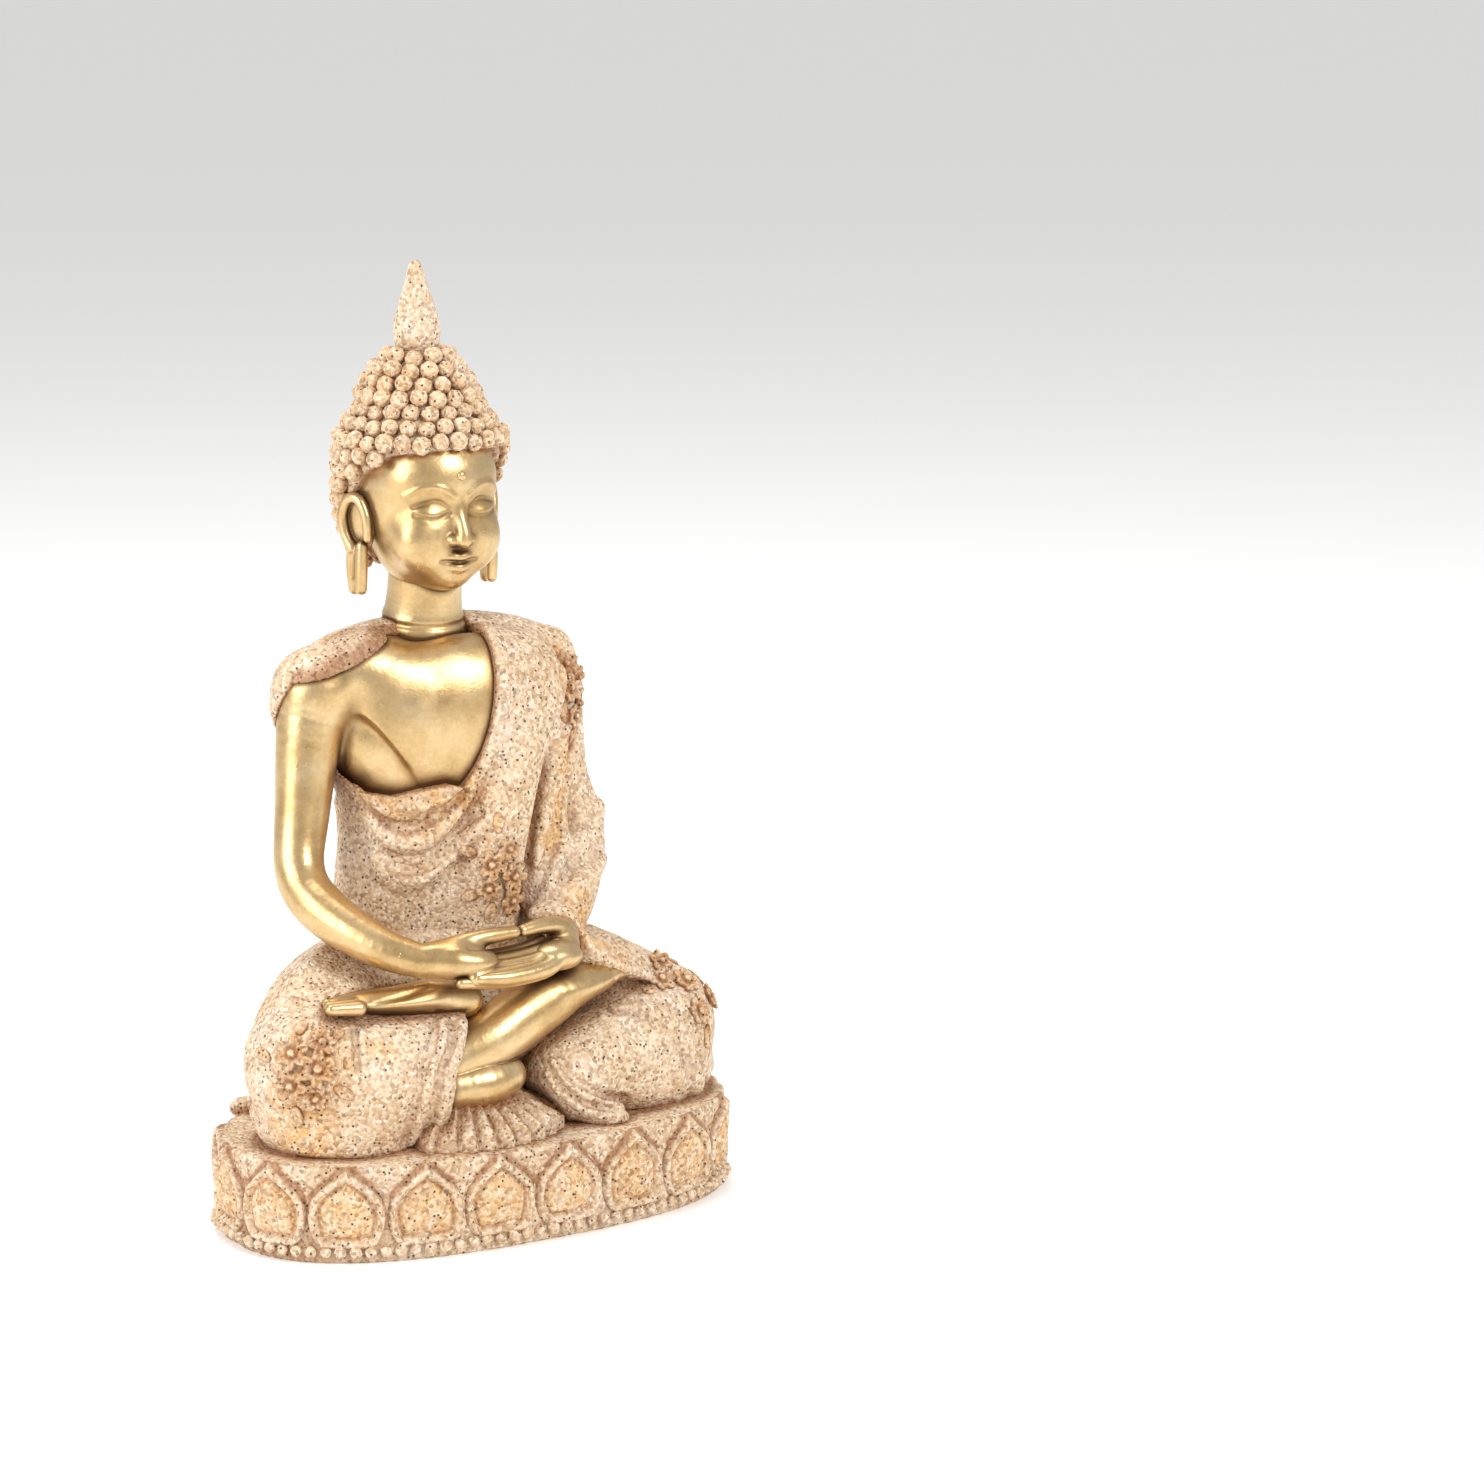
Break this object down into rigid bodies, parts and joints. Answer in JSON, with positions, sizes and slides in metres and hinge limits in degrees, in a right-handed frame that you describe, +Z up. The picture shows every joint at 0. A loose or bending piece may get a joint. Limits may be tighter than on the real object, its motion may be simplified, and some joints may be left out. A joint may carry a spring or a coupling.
{
  "type": "buddha statue",
  "caption": "Seated Buddha in meditation on an oval lotus base, sandstone finish robe, curled hair and base, gilded skin; small shelf or altar figure",
  "frame": {"origin": "bottom centre of the bounding box, 1 mm behind the centre of the base's underside", "axes": "+Z up, the figure faces -Y, its right arm is at -X, the base's long side runs along X"},
  "size_m": [0.0878, 0.0529, 0.15],
  "materials": {
    "sandstone": "sand-filled cast resin, fine grained, matt, with dark specks",
    "gilding": "the same casting under satin antique-gold paint, brown in the recesses"
  },
  "bodies": {
    "root": {"lotus_base": "sandstone", "petal_band": "sandstone", "bead_band": "sandstone", "seat_drape": "sandstone", "right_leg_drape": "sandstone", "left_leg_drape": "sandstone", "hem_fan": "sandstone", "right_foot": "gilding", "left_foot": "gilding", "torso": "gilding", "upper_robe": "sandstone", "right_shoulder_drape": "sandstone", "left_sleeve": "sandstone", "right_arm": "gilding", "right_hand": "gilding", "left_hand": "gilding", "neck": "gilding", "head": "gilding", "right_ear": "gilding", "left_ear": "gilding", "urna": "gilding", "hair_cap": "sandstone", "ushnisha": "sandstone", "finial": "sandstone", "shoulder_flowers": "sandstone", "sash_flowers": "sandstone", "right_knee_flowers": "sandstone", "left_knee_flowers": "sandstone"}
  },
  "joints": []
}
